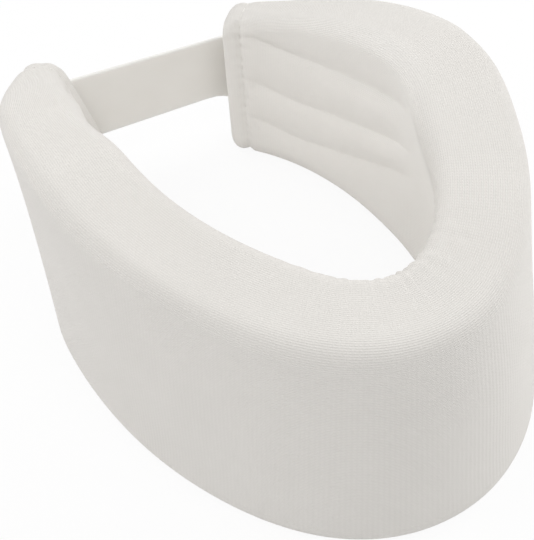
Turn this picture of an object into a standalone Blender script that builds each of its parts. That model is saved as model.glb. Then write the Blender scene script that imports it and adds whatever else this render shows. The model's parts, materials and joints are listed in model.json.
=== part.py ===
# Soft cervical collar: a foam slab bent round the neck in a knitted sleeve that is sewn shut at both ends,
# closed behind by a hook-and-loop tape. Metres, +Z up. The chin side faces -Y and the opening faces +Y.
# The collar stands on its lower edge. Left and right are seen from the chin side, so left is -X.

import math

import bpy
import numpy as np

# Slab in plan, measured along its middle line from the chin
HALF_LENGTH = 0.191          # chin to either end
FRONT_RADIUS = 0.0341        # round the chin
LEFT_ARM_RADIUS = 0.1222     # the soft arms don't bend alike
RIGHT_ARM_RADIUS = 0.1006
BEND_REACH = 0.0281          # where the chin bend is half way to the arm's curve
BEND_EASE = 0.0275           # half the length of that change

# Slab height
CHIN_HEIGHT = 0.0725
SIDE_HEIGHT = 0.0807
SIDE_REACH = 0.110           # chin to the highest place, below the ear
END_HEIGHT = 0.0557
FALL_POWER = 1.25            # how the top falls to the end: 1 is straight, 2 a parabola

# Slab thickness, measured over the sleeve
FRONT_THICKNESS = 0.0216     # drawn thin round the chin bend
ARM_THICKNESS = 0.0259
THICKEN_REACH = 0.087        # chin to where the arm has its full thickness
END_THICKNESS = 0.0147
TAPER_LENGTH = 0.0773        # squeezed down towards the sewn end

# Lean of the faces: outward shift for each metre of height above LEAN_LEVEL
FRONT_LEAN = -0.20
SIDE_LEAN = -0.033
LEFT_END_LEAN = 0.25         # the left end flops out, the right one stands up
RIGHT_END_LEAN = 0.0
LEAN_REACH = 0.116           # chin to where the front lean has gone
LEAN_LEVEL = 0.031

# Edges of the slab
INNER_TOP_RADIUS = 0.0050
OUTER_TOP_RADIUS = 0.0050
LOWER_BEVEL = 0.0055
TOP_FALL = 0.0007            # how much lower the outer top edge lies than the inner one

# Sewn ends of the sleeve
SEAM_FROM_END = 0.0073
SEAM_WIDTH = 0.0025
SEAM_DEPTH = 0.0014          # drawn in on each side by the seam
END_ROUND = 0.0034
SLIT_WIDTH = 0.0010          # between the two turned-in edges of the sleeve
SLIT_MARGIN = 0.008          # closed above and below the slit

# Folds on the neck side of each arm, which run from the end seam and climb towards the chin
FOLD_LEVELS = (0.0518, 0.0317, 0.0145)
FOLD_CLIMBS = (0.0152, 0.0198, 0.0252)
FOLD_LENGTH = 0.096
FOLD_FADE = 0.030
FOLD_DEPTH = 0.0020
FOLD_TOP_MARGIN = 0.0020     # flat cloth above the highest fold
BAND_CROWN = 0.0010          # swell between two folds

# Sleeve and foam
KNIT_THICKNESS = 0.0012
FOAM_CLEARANCE = 0.0004
SEAT_GAP = 0.0004            # between pieces that lie on each other

# Closing tape
TAPE_WIDTH = 0.025
TAPE_THICKNESS = 0.0012
TAPE_LEVEL = 0.0303          # height of its middle
LEFT_BEND_RADIUS = 0.006     # of the tape, round each end of the slab
RIGHT_BEND_RADIUS = 0.018
TAIL_LENGTH = 0.036          # sewn down on the left arm
HINGE_FROM_END = 0.0045      # where the tape stops being sewn down
TAB_LENGTH = 0.064           # lies on the right arm
TAB_ROUND = 0.008            # rounded corners of the free end
HOOK_LENGTH = 0.038
HOOK_WIDTH = 0.019
HOOK_THICKNESS = 0.0012
HOOK_TIP_MARGIN = 0.007      # bare tape past the hooks, to hold it by
PAD_FROM_END = 0.015
PAD_LENGTH = 0.054
PAD_WIDTH = 0.025
PAD_THICKNESS = 0.0012
TAPE_STATION_SPACING = 0.006

# Sewing thread
THREAD_RADIUS = 0.0003
STITCH_LENGTH = 0.0030
STITCH_RISE = 0.0003         # hump of each stitch over the cloth
STITCH_MARGIN = 0.0015       # from the edge of the tape or pad
TAIL_STITCH_MARGIN = 0.004
STITCH_CORNER = 0.0012
THREAD_SIDES = 5

# Facets
MIDDLE_LINE_STEPS = 800
ARM_STATIONS = 9             # rings between the chin and the sewn end, on each side
SEAM_STATIONS = (0.0, 1.0, 2.2)    # rings over the seam's groove, in seam widths
ARC_POINTS = 4
BEND_POINTS = 7
WIDEST_ROUND = 0.9           # most of half the thickness that an edge may take
LEAST_ROUND = 0.1
SHARP_ANGLE = 40.0


def ease(t):
    """Smooth step from 0 to 1."""
    t = np.clip(t, 0.0, 1.0)
    return t * t * (3.0 - 2.0 * t)


def running_sum(values, step):
    """Trapezoid sum of evenly spaced values, starting at 0."""
    return np.concatenate([[0.0], np.cumsum((values[1:] + values[:-1]) * 0.5 * step)])


def middle_line(arm_radius):
    """Distance, x, y and heading along one half, from a curvature that eases from chin bend to arm."""
    run = np.linspace(0.0, HALF_LENGTH, MIDDLE_LINE_STEPS)
    step = run[1] - run[0]
    share = ease((run - BEND_REACH + BEND_EASE) / (2.0 * BEND_EASE))
    heading = running_sum((1.0 - share) / FRONT_RADIUS + share / arm_radius, step)
    return run, running_sum(np.cos(heading), step), running_sum(np.sin(heading), step), heading


TAPE_EDGES = TAPE_LEVEL - TAPE_WIDTH / 2.0, TAPE_LEVEL + TAPE_WIDTH / 2.0
HALVES = {-1: middle_line(LEFT_ARM_RADIUS), 1: middle_line(RIGHT_ARM_RADIUS)}


def plan(s):
    """Point and outward normal of the middle line at distance s from the chin, negative to the left."""
    side = -1 if s < 0.0 else 1
    run, x, y, heading = HALVES[side]
    angle = np.interp(abs(s), run, heading)
    point = np.array([side * np.interp(abs(s), run, x), np.interp(abs(s), run, y), 0.0])
    normal = np.array([side * math.sin(angle), -math.cos(angle), 0.0])
    return point, normal


def top_height(a):
    """Height of the slab: climbs smoothly from the chin to below the ear, then falls to the end."""
    if a < SIDE_REACH:
        return CHIN_HEIGHT + (SIDE_HEIGHT - CHIN_HEIGHT) * ease(a / SIDE_REACH)
    share = (a - SIDE_REACH) / (HALF_LENGTH - SIDE_REACH)
    return SIDE_HEIGHT - (SIDE_HEIGHT - END_HEIGHT) * share ** FALL_POWER


def thickness(a):
    """Thickness over the sleeve, thin at the chin and squeezed at the end."""
    grown = FRONT_THICKNESS + (ARM_THICKNESS - FRONT_THICKNESS) * ease(a / THICKEN_REACH)
    squeezed = (ARM_THICKNESS - END_THICKNESS) * (1.0 - ease((HALF_LENGTH - a) / TAPER_LENGTH))
    return grown - squeezed


def lean(s):
    """Outward shift for each metre above LEAN_LEVEL."""
    end_lean = LEFT_END_LEAN if s < 0.0 else RIGHT_END_LEAN
    from_front = ease(abs(s) / LEAN_REACH)
    to_end = ease((abs(s) - LEAN_REACH) / (HALF_LENGTH - LEAN_REACH))
    return FRONT_LEAN * (1.0 - from_front) + SIDE_LEAN * from_front + (end_lean - SIDE_LEAN) * to_end


def place(s, out, z):
    """World point at distance s along the slab, out from its middle line and z up, with the lean."""
    point, normal = plan(s)
    point = point + normal * (out + lean(s) * (z - LEAN_LEVEL))
    point[2] = z
    return point


def fold_shape(from_end):
    """Heights of the folds and how far they are pressed in, at a distance from the end."""
    climb = (from_end / FOLD_LENGTH) ** 2 if from_end < FOLD_LENGTH else 1.0
    levels = [low + rise * climb for low, rise in zip(FOLD_LEVELS, FOLD_CLIMBS)]
    fade_out = 1.0 - ease((from_end - FOLD_LENGTH + FOLD_FADE) / FOLD_FADE)
    fade_in = ease((from_end - SEAM_FROM_END) / SEAM_FROM_END)
    return levels, fade_out * fade_in


def section(from_end, inset):
    """Outline of the slab across its length as (out, z) points, drawn in by inset all round.

    It runs over the top from the outer face to the neck face, down the folds, back along the bottom and up
    the outer face, with a point at each edge of the tape."""
    a = HALF_LENGTH - from_end
    seam = SEAM_DEPTH * math.exp(-((from_end - SEAM_FROM_END) / SEAM_WIDTH) ** 2)
    inward = max(END_ROUND - from_end, 0.0)
    rounding = END_ROUND - math.sqrt(END_ROUND ** 2 - inward ** 2)
    half = thickness(a) / 2.0 - seam - rounding - inset
    top = top_height(a) - seam - rounding - inset
    low = seam + rounding + inset

    def edge(size):
        return max(min(size, WIDEST_ROUND * (half + inset)) - inset, LEAST_ROUND * half)

    def top_arc(out_sign, radius, start):
        r = edge(radius)
        angles = math.radians(start) + np.linspace(0.0, math.pi / 2.0, ARC_POINTS)
        out = out_sign * (half - r) + r * np.cos(angles)
        z = top - r + r * np.sin(angles) - TOP_FALL * (out / half + 1.0) / 2.0
        return list(zip(out, z))

    outer_top = top_arc(1, OUTER_TOP_RADIUS, 0.0)
    inner_top = top_arc(-1, INNER_TOP_RADIUS, 90.0)
    bevel = edge(LOWER_BEVEL)
    inner_low = [(-half, low + bevel), (bevel - half, low)]
    outer_low = [(half - bevel, low), (half, low + bevel)]

    levels, strength = fold_shape(from_end)
    face_top = inner_top[-1][1]
    face_low = inner_low[0][1]
    share = min(1.0, (face_top - FOLD_TOP_MARGIN - face_low) / (levels[0] - face_low))
    levels = [face_low + (z - face_low) * share for z in levels]
    stops = levels + [face_low]
    neck_face = []
    for upper, lower in zip(stops[:-1], stops[1:]):
        neck_face.append((-half + FOLD_DEPTH * strength, upper))
        neck_face.append((-half - BAND_CROWN * strength, (upper + lower) / 2.0))
    outer_face = [(half, z) for z in TAPE_EDGES]
    return outer_top + inner_top + neck_face + inner_low + outer_low + outer_face


def ring(side, from_end, inset=0.0):
    """Section placed in space on one side of the chin."""
    s = side * (HALF_LENGTH - from_end)
    return [place(s, out, z) for out, z in section(from_end, inset)]


def slit_ring(side, from_end):
    """Edge of the slit between the turned-in edges of the sleeve: the end section pressed flat."""
    points = section(0.0, 0.0)
    half = max(out for out, z in points)
    low = min(z for out, z in points)
    top = max(z for out, z in points)
    squeeze = (top - low - 2.0 * SLIT_MARGIN) / (top - low)
    middle = (top + low) / 2.0
    s = side * (HALF_LENGTH - from_end)
    flat = [(out / half * SLIT_WIDTH / 2.0, middle + (z - middle) * squeeze) for out, z in points]
    return [place(s, out, z) for out, z in flat]


def half_stations():
    """Distances from the end of the rings on one half, end first, closest where it bends or tapers most."""
    seam = [SEAM_FROM_END + k * SEAM_WIDTH for k in SEAM_STATIONS]
    bead = [0.0, END_ROUND * (1.0 - math.cos(math.pi / 4.0)), END_ROUND]
    run, x, y, heading = HALVES[1]
    taper = 1.0 - ease((HALF_LENGTH - run) / TAPER_LENGTH)
    measure = heading / heading[-1] + run / HALF_LENGTH + taper / 2.0
    reach = np.interp(HALF_LENGTH - seam[-1], run, measure)
    along = np.interp(np.linspace(reach, 0.0, ARM_STATIONS + 1)[1:], measure, run)
    return bead + seam + [HALF_LENGTH - a for a in along]


STATIONS = half_stations()


def slab_rings(inset, end_inset):
    """Rings from the left end to the right end, drawn in by inset, with the ends drawn in as well."""
    shifted = [end_inset + e * (1.0 - end_inset / END_ROUND) if e < END_ROUND else e for e in STATIONS]
    left = [ring(-1, e, inset) for e in shifted]
    right = [ring(1, e, inset) for e in shifted]
    return left + right[-2::-1]


def loft(rings, closed, back_slant=False):
    """Vertices and triangles through a row of rings, closed on itself or capped at both ends.

    back_slant splits each four-sided patch along its other diagonal."""
    count = len(rings[0])
    vertices = [point for one in rings for point in one]
    triangles = []
    for k in range(len(rings) if closed else len(rings) - 1):
        here = k * count
        there = (k + 1) % len(rings) * count
        for j in range(count):
            n = (j + 1) % count
            last_of_first = here + n if back_slant else there + n
            first_of_last = there + j if back_slant else here + j
            triangles.append((here + j, there + j, last_of_first))
            triangles.append((first_of_last, there + n, here + n))
    caps = []
    if not closed:
        last = (len(rings) - 1) * count
        caps = [tuple(range(count)), tuple(range(last + count - 1, last - 1, -1))]
    return vertices, triangles + caps


def knit_cover():
    """Sleeve: its outside from end to end, in through the right slit, and its inside back to the left slit."""
    outside = slab_rings(0.0, 0.0)
    inside = slab_rings(KNIT_THICKNESS, KNIT_THICKNESS)
    outer_slits = slit_ring(-1, 0.0), slit_ring(1, 0.0)
    inner_slits = slit_ring(-1, KNIT_THICKNESS), slit_ring(1, KNIT_THICKNESS)
    rings = [outer_slits[0]] + outside + [outer_slits[1], inner_slits[1]] + inside[::-1] + [inner_slits[0]]
    return loft(rings, closed=True)


def foam_core():
    """Foam slab with the sleeve's own shape, a clearance inside it."""
    inset = KNIT_THICKNESS + FOAM_CLEARANCE
    return loft(slab_rings(inset, inset), closed=False, back_slant=True)


def face_point(s, z, above):
    """Point above the outer face of the arms, which the tape, pad and stitches lie on."""
    return place(s, thickness(abs(s)) / 2.0 + above, z)


def fillet(before, corner, after, radius, count):
    """Points of an arc that rounds a corner in plan, tangent to both sides."""
    to_before = (before - corner) / np.linalg.norm(before - corner)
    to_after = (after - corner) / np.linalg.norm(after - corner)
    half_angle = math.acos(float(np.clip(to_before @ to_after, -1.0, 1.0))) / 2.0
    bisector = (to_before + to_after) / np.linalg.norm(to_before + to_after)
    centre = corner + bisector * radius / math.sin(half_angle)
    start = corner + to_before * radius / math.tan(half_angle) - centre
    stop = corner + to_after * radius / math.tan(half_angle) - centre
    sweep = math.pi - 2.0 * half_angle
    shares = np.linspace(0.0, 1.0, count)
    weights = [(math.sin((1.0 - t) * sweep), math.sin(t * sweep)) for t in shares]
    return [centre + (start * a + stop * b) / math.sin(sweep) for a, b in weights]


def on_left_arm(from_end):
    """Distance from the chin of a place on the left arm."""
    return -(HALF_LENGTH - from_end)


def on_right_arm(from_end):
    """Distance from the chin of a place on the right arm."""
    return HALF_LENGTH - from_end


STACK = PAD_THICKNESS + SEAT_GAP + HOOK_THICKNESS + SEAT_GAP    # between the right arm and the tape
HINGE_S = on_left_arm(HINGE_FROM_END)


def spaced(start, stop):
    """Evenly spaced distances for the tape's stations."""
    count = max(2, math.ceil(abs(stop - start) / TAPE_STATION_SPACING) + 1)
    return np.linspace(start, stop, count)


def free_tape_line(z):
    """Middle of the tape at height z: from its sewn edge, across the opening and over the loop pad."""
    above = SEAT_GAP + TAPE_THICKNESS / 2.0
    hinge = face_point(HINGE_S - SEAT_GAP / 2.0, z, above)
    left_corner = face_point(on_left_arm(0.0), z, above)
    right_corner = face_point(on_right_arm(0.0), z, above)
    over_pad = [face_point(on_right_arm(e), z, above + STACK) for e in spaced(PAD_FROM_END, TAB_LENGTH)]
    first_bend = fillet(hinge, left_corner, right_corner, LEFT_BEND_RADIUS, BEND_POINTS)
    second_bend = fillet(left_corner, right_corner, over_pad[0], RIGHT_BEND_RADIUS, BEND_POINTS)
    return [hinge] + first_bend + second_bend + over_pad


def ribbon(low_line, top_line, thick, tip_round=0.0, hinge_station=None):
    """Flat strip between two edge lines, with the corners of its far end rounded.

    Its cut face at hinge_station, first or last, stands square to the arm that the tape is sewn to."""
    low = np.array(low_line)
    top = np.array(top_line)
    middle = (low + top) / 2.0
    steps = np.gradient(middle, axis=0)
    steps = steps / np.linalg.norm(steps, axis=1, keepdims=True)
    normals = np.stack([steps[:, 1], -steps[:, 0], np.zeros(len(steps))], axis=1)
    if hinge_station is not None:
        normals[hinge_station] = plan(HINGE_S)[1] * np.sign(plan(HINGE_S)[1] @ normals[hinge_station])
    left_over = np.concatenate([[0.0], np.cumsum(np.linalg.norm(np.diff(middle, axis=0), axis=1))])
    left_over = left_over[-1] - left_over
    rings = []
    for k in range(len(middle)):
        inward = max(tip_round - left_over[k], 0.0)
        cut = tip_round - math.sqrt(max(tip_round ** 2 - inward ** 2, 0.0))
        upright = (top[k] - low[k]) / np.linalg.norm(top[k] - low[k])
        corners = low[k] + upright * cut, top[k] - upright * cut
        offset = normals[k] * thick / 2.0
        rings.append([corners[0] + offset, corners[1] + offset, corners[1] - offset, corners[0] - offset])
    return loft(rings, closed=False)


def strap_band():
    """Free length of the tape, with a few close stations round its tip."""
    lines = [free_tape_line(z) for z in TAPE_EDGES]
    tip = [HALF_LENGTH - TAB_LENGTH - TAB_ROUND * math.sin(math.radians(t)) for t in (30.0, 60.0, 90.0)]
    above = SEAT_GAP + TAPE_THICKNESS / 2.0 + STACK
    for line, z in zip(lines, TAPE_EDGES):
        line.extend(face_point(s, z, above) for s in tip)
    return ribbon(lines[0], lines[1], TAPE_THICKNESS, TAB_ROUND, hinge_station=0)


def strap_sewn_end():
    """Tail of the tape, sewn down on the left arm."""
    above = SEAT_GAP + TAPE_THICKNESS / 2.0
    stop = HINGE_FROM_END + SEAT_GAP / 2.0
    run = spaced(HINGE_FROM_END + TAIL_LENGTH, stop)
    lines = [[face_point(on_left_arm(e), z, above) for e in run] for z in TAPE_EDGES]
    return ribbon(lines[0], lines[1], TAPE_THICKNESS, hinge_station=-1)


def arm_strip(first, length, width, above, thick):
    """Strip on the outside of the right arm, above its outer face."""
    run = spaced(first, first + length)
    edges = TAPE_LEVEL - width / 2.0, TAPE_LEVEL + width / 2.0
    lines = [[face_point(on_right_arm(e), z, above + thick / 2.0) for e in run] for z in edges]
    return ribbon(lines[0], lines[1], thick)


HOOK_FIRST = TAB_LENGTH + TAB_ROUND - HOOK_TIP_MARGIN - HOOK_LENGTH
HOOK_ABOVE = SEAT_GAP + PAD_THICKNESS + SEAT_GAP


def loop_pad():
    """Loop strip sewn on the right arm."""
    return arm_strip(PAD_FROM_END, PAD_LENGTH, PAD_WIDTH, SEAT_GAP, PAD_THICKNESS)


def hook_patch():
    """Hook strip on the neck side of the tape's free end."""
    return arm_strip(HOOK_FIRST, HOOK_LENGTH, HOOK_WIDTH, HOOK_ABOVE, HOOK_THICKNESS)


def thread(points, normals):
    """Closed thread through points on cloth: a tube that rises over each stitch."""
    points = np.array(points)
    normals = np.array(normals)
    gaps = np.linalg.norm(np.roll(points, -1, axis=0) - points, axis=1)
    reach = np.concatenate([[0.0], np.cumsum(gaps)])
    stitches = max(4, round(reach[-1] / STITCH_LENGTH))
    samples = np.linspace(0.0, reach[-1], 2 * stitches, endpoint=False)
    loop = np.vstack([points, points[:1]])
    faces = np.vstack([normals, normals[:1]])
    path = np.stack([np.interp(samples, reach, loop[:, k]) for k in range(3)], axis=1)
    up = np.stack([np.interp(samples, reach, faces[:, k]) for k in range(3)], axis=1)
    up = up / np.linalg.norm(up, axis=1, keepdims=True)
    hump = STITCH_RISE * (np.arange(len(samples)) % 2)
    path = path + up * (SEAT_GAP + THREAD_RADIUS + hump)[:, None]
    steps = np.roll(path, -1, axis=0) - np.roll(path, 1, axis=0)
    steps = steps / np.linalg.norm(steps, axis=1, keepdims=True)
    across = np.cross(steps, up)
    across = across / np.linalg.norm(across, axis=1, keepdims=True)
    over = np.cross(across, steps)
    turns = [2.0 * math.pi * k / THREAD_SIDES for k in range(THREAD_SIDES)]
    around = [across * math.cos(t) + over * math.sin(t) for t in turns]
    rings = [[path[i] + THREAD_RADIUS * side[i] for side in around] for i in range(len(path))]
    return loft(rings, closed=True)


def box_of_stitches(to_s, first, last, half_width, above):
    """Closed row of stitches round a rectangle on the arm's outer face, with rounded corners."""
    middle = (first + last) / 2.0
    half_length = (last - first) / 2.0 - STITCH_CORNER
    half_height = half_width - STITCH_CORNER
    outline = []
    for quarter, (along, up) in enumerate([(1, 1), (-1, 1), (-1, -1), (1, -1)]):
        for t in np.radians(np.linspace(0.0, 90.0, 3)) + quarter * math.pi / 2.0:
            outline.append((along * half_length + STITCH_CORNER * math.cos(t),
                            up * half_height + STITCH_CORNER * math.sin(t)))
    points = []
    normals = []
    for k, (along, up) in enumerate(outline):
        next_along, next_up = outline[(k + 1) % len(outline)]
        for share in np.linspace(0.0, 1.0, 7)[:-1]:
            s = to_s(middle + along + (next_along - along) * share)
            points.append(face_point(s, TAPE_LEVEL + up + (next_up - up) * share, above))
            normals.append(plan(s)[1])
    return thread(points, normals)


def strap_seam():
    """Box of stitches through the tape's tail."""
    first = HINGE_FROM_END + TAIL_STITCH_MARGIN
    last = HINGE_FROM_END + TAIL_LENGTH - TAIL_STITCH_MARGIN
    half_width = TAPE_WIDTH / 2.0 - TAIL_STITCH_MARGIN
    return box_of_stitches(on_left_arm, first, last, half_width, SEAT_GAP + TAPE_THICKNESS)


def loop_pad_seam():
    """Stitches round the loop pad, outside the reach of the hooks."""
    first = PAD_FROM_END + STITCH_MARGIN
    last = PAD_FROM_END + PAD_LENGTH - STITCH_MARGIN
    half_width = PAD_WIDTH / 2.0 - STITCH_MARGIN
    return box_of_stitches(on_right_arm, first, last, half_width, SEAT_GAP + PAD_THICKNESS)


def hook_patch_seam():
    """Stitches through the tape round the hook patch, which show on the tape's outer face."""
    above = SEAT_GAP + STACK + TAPE_THICKNESS
    first = HOOK_FIRST + STITCH_MARGIN
    last = HOOK_FIRST + HOOK_LENGTH - STITCH_MARGIN
    return box_of_stitches(on_right_arm, first, last, HOOK_WIDTH / 2.0 - STITCH_MARGIN, above)


def end_seam(side):
    """Thread drawn round one end of the sleeve, in the groove that it pulls in."""
    outline = np.array(ring(side, SEAM_FROM_END))
    back = np.roll(outline, 1, axis=0)
    ahead = np.roll(outline, -1, axis=0)
    steps = ahead - back
    along = np.cross(plan(side * (HALF_LENGTH - SEAM_FROM_END))[1], [0.0, 0.0, 1.0])
    normals = np.cross(steps, along)
    normals = normals / np.linalg.norm(normals, axis=1, keepdims=True)
    return thread(outline, normals)


def cloth_material(name, colour, roughness):
    """Matt cloth or foam."""
    material = bpy.data.materials.new(name)
    material.use_nodes = True
    shader = material.node_tree.nodes["Principled BSDF"]
    shader.inputs["Base Color"].default_value = (*colour, 1.0)
    shader.inputs["Roughness"].default_value = roughness
    shader.inputs["Metallic"].default_value = 0.0
    return material


def add_object(name, shape, origin, shift, material, parent):
    """One named object, with its origin at the given point."""
    vertices, faces = shape
    local = [tuple(np.array(v) + shift - origin) for v in vertices]
    mesh = bpy.data.meshes.new(name)
    mesh.from_pydata(local, [], faces)
    mesh.materials.append(material)
    mesh.shade_smooth()
    mesh.set_sharp_from_angle(angle=math.radians(SHARP_ANGLE))
    item = bpy.data.objects.new(name, mesh)
    bpy.context.scene.collection.objects.link(item)
    item.parent = parent
    return item


def add_empty(name, location):
    """Point that pieces are carried by."""
    empty = bpy.data.objects.new(name, None)
    empty.location = location
    bpy.context.scene.collection.objects.link(empty)
    return empty


def main():
    for item in list(bpy.data.objects):
        bpy.data.objects.remove(item)

    knit = cloth_material("off_white_knit", (0.76, 0.74, 0.70), 0.95)
    foam = cloth_material("cream_foam", (0.80, 0.75, 0.62), 0.95)
    tape = cloth_material("white_tape", (0.68, 0.66, 0.62), 0.85)
    hooks = cloth_material("white_hooks", (0.74, 0.73, 0.70), 0.70)
    loops = cloth_material("white_loops", (0.78, 0.77, 0.74), 0.95)
    sewing = cloth_material("off_white_thread", (0.72, 0.70, 0.66), 0.80)

    fixed = {
        "foam_core": (foam_core(), foam),
        "knit_cover": (knit_cover(), knit),
        "left_end_seam": (end_seam(-1), sewing),
        "right_end_seam": (end_seam(1), sewing),
        "strap_sewn_end": (strap_sewn_end(), tape),
        "strap_seam": (strap_seam(), sewing),
        "loop_pad": (loop_pad(), loops),
        "loop_pad_seam": (loop_pad_seam(), sewing),
    }
    moving = {
        "strap_band": (strap_band(), tape),
        "hook_patch": (hook_patch(), hooks),
        "hook_patch_seam": (hook_patch_seam(), sewing),
    }

    # The origin is under the middle of the whole collar
    every_point = np.array([v for shape, _ in (fixed | moving).values() for v in shape[0]])
    shift = -(every_point.min(axis=0) + every_point.max(axis=0)) / 2.0
    shift[2] = 0.0

    # The tape bends along the edge of its tail, at its outer face, so it opens without binding
    above = SEAT_GAP + TAPE_THICKNESS
    hinge = face_point(HINGE_S, TAPE_LEVEL, above) + shift
    axis = face_point(HINGE_S, TAPE_EDGES[1], above) - face_point(HINGE_S, TAPE_EDGES[0], above)
    axis = axis / np.linalg.norm(axis)

    collar = add_empty("collar", (0.0, 0.0, 0.0))
    strap = add_empty("strap", tuple(hinge))
    strap.parent = collar
    for name, (shape, material) in fixed.items():
        add_object(name, shape, np.zeros(3), shift, material, collar)
    for name, (shape, material) in moving.items():
        add_object(name, shape, hinge, shift, material, strap)

    print("strap hinge", np.round(hinge, 5), "axis", np.round(axis, 5))
    print("middle of the lower edge at the chin", np.round(place(0.0, 0.0, 0.0) + shift, 5))


main()
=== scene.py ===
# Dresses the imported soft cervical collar: a knitted sleeve over bent foam, its two sewn ends, and the
# hook-and-loop tape that closes it behind. Metres, +Z up, chin side towards -Y.
import json
import math

import bpy
import numpy as np
from mathutils import Matrix

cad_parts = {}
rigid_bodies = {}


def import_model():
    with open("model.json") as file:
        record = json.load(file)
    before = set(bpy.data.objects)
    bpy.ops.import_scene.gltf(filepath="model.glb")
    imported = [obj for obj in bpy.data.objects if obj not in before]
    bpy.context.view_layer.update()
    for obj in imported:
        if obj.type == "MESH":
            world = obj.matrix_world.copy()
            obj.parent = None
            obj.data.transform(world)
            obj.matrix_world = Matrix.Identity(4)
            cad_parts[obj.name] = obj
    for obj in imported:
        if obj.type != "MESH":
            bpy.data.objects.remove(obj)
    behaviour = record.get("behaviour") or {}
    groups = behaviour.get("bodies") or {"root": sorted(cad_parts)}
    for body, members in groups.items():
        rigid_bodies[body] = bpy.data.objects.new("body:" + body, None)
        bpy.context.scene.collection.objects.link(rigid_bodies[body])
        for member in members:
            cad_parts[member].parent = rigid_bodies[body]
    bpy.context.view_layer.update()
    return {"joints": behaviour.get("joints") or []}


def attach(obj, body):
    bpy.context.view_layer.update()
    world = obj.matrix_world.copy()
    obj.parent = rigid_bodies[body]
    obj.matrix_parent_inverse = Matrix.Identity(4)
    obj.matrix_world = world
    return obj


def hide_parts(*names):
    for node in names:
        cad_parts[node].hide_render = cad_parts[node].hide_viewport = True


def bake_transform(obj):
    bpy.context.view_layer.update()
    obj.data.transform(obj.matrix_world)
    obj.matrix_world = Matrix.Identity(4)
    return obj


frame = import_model()


# Bent slab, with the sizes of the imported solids; lengths along it run from the chin
slab = {
    "halfLength": 0.191,
    "frontRadius": 0.0341,          # round the chin
    "leftArmRadius": 0.1222,
    "rightArmRadius": 0.1006,
    "bendReach": 0.0281,            # chin bend is half way to the arm's curve here
    "bendEase": 0.0275,
    "lineSteps": 800,
    "chinHeight": 0.0725,
    "sideHeight": 0.0807,
    "sideReach": 0.110,             # highest place, below the ear
    "endHeight": 0.0557,
    "fallPower": 1.25,              # how the top falls to the end
    "frontThickness": 0.0216,
    "armThickness": 0.0259,
    "thickenReach": 0.087,
    "endThickness": 0.0147,
    "taperLength": 0.0773,
    "frontLean": -0.20,             # outward shift for each metre above leanLevel
    "sideLean": -0.033,
    "leftEndLean": 0.25,            # the left end flops out, the right one stands up
    "rightEndLean": 0.0,
    "leanReach": 0.116,
    "leanLevel": 0.031,
}


def ease(t):
    # Smooth step from 0 to 1
    t = np.clip(t, 0.0, 1.0)
    return t * t * (3.0 - 2.0 * t)


def unit(vectors):
    # The same directions with length 1
    return vectors / np.linalg.norm(vectors, axis=-1, keepdims=True)


def wayAlong(line):
    # Distance along a line from its first point to each of its points
    return np.concatenate([[0.0], np.cumsum(np.linalg.norm(np.diff(line, axis=0), axis=1))])


def runningSum(values, step):
    # Trapezoid sum of evenly spaced values, starting at 0
    return np.concatenate([[0.0], np.cumsum((values[1:] + values[:-1]) * 0.5 * step)])


def middleLine(armRadius):
    # Curvature eases from the chin bend to the arm; heading is its sum, x and y are the sums of the heading
    run = np.linspace(0.0, slab["halfLength"], slab["lineSteps"])
    share = ease((run - slab["bendReach"] + slab["bendEase"]) / (2.0 * slab["bendEase"]))
    heading = runningSum((1.0 - share) / slab["frontRadius"] + share / armRadius, run[1])
    return run, runningSum(np.cos(heading), run[1]), runningSum(np.sin(heading), run[1]), heading


leftLine = middleLine(slab["leftArmRadius"])
rightLine = middleLine(slab["rightArmRadius"])


def planAt(s):
    # Point, outward normal and heading direction at distance s from the chin, negative to the left
    s = np.asarray(s, float)
    left = s < 0.0
    side = np.where(left, -1.0, 1.0)

    def along(index):
        onLeft = np.interp(np.abs(s), leftLine[0], leftLine[index])
        return np.where(left, onLeft, np.interp(np.abs(s), rightLine[0], rightLine[index]))

    zero = np.zeros_like(s)
    point = np.stack([side * along(1), along(2), zero], axis=-1)
    normal = np.stack([side * np.sin(along(3)), -np.cos(along(3)), zero], axis=-1)
    ahead = np.stack([side * np.cos(along(3)), np.sin(along(3)), zero], axis=-1)
    return point, normal, ahead


def topHeight(a):
    # Climbs smoothly from the chin to below the ear, then falls to the end
    climb = slab["chinHeight"] + (slab["sideHeight"] - slab["chinHeight"]) * ease(a / slab["sideReach"])
    share = np.maximum(a - slab["sideReach"], 0.0) / (slab["halfLength"] - slab["sideReach"])
    fall = slab["sideHeight"] - (slab["sideHeight"] - slab["endHeight"]) * share ** slab["fallPower"]
    return np.where(a < slab["sideReach"], climb, fall)


def thicknessAt(a):
    # Thin round the chin, full along the arm, squeezed at the sewn end
    gain = slab["armThickness"] - slab["frontThickness"]
    grown = slab["frontThickness"] + gain * ease(a / slab["thickenReach"])
    nearEnd = 1.0 - ease((slab["halfLength"] - a) / slab["taperLength"])
    return grown - (slab["armThickness"] - slab["endThickness"]) * nearEnd


def leanAt(s):
    # Leans in at the chin, upright at the side, and its own way at each end
    a = np.abs(s)
    endLean = np.where(s < 0.0, slab["leftEndLean"], slab["rightEndLean"])
    fromFront = ease(a / slab["leanReach"])
    toEnd = ease((a - slab["leanReach"]) / (slab["halfLength"] - slab["leanReach"]))
    upright = slab["frontLean"] * (1.0 - fromFront) + slab["sideLean"] * fromFront
    return upright + (endLean - slab["sideLean"]) * toEnd


def rawPlace(s, out, z):
    # Middle line, plus the normal times out and the lean at height z
    s, out, z = np.broadcast_arrays(np.asarray(s, float), np.asarray(out, float), np.asarray(z, float))
    point, normal, _ = planAt(s)
    moved = point + normal * (out + leanAt(s) * (z - slab["leanLevel"]))[..., None]
    moved[..., 2] = z
    return moved


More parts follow.
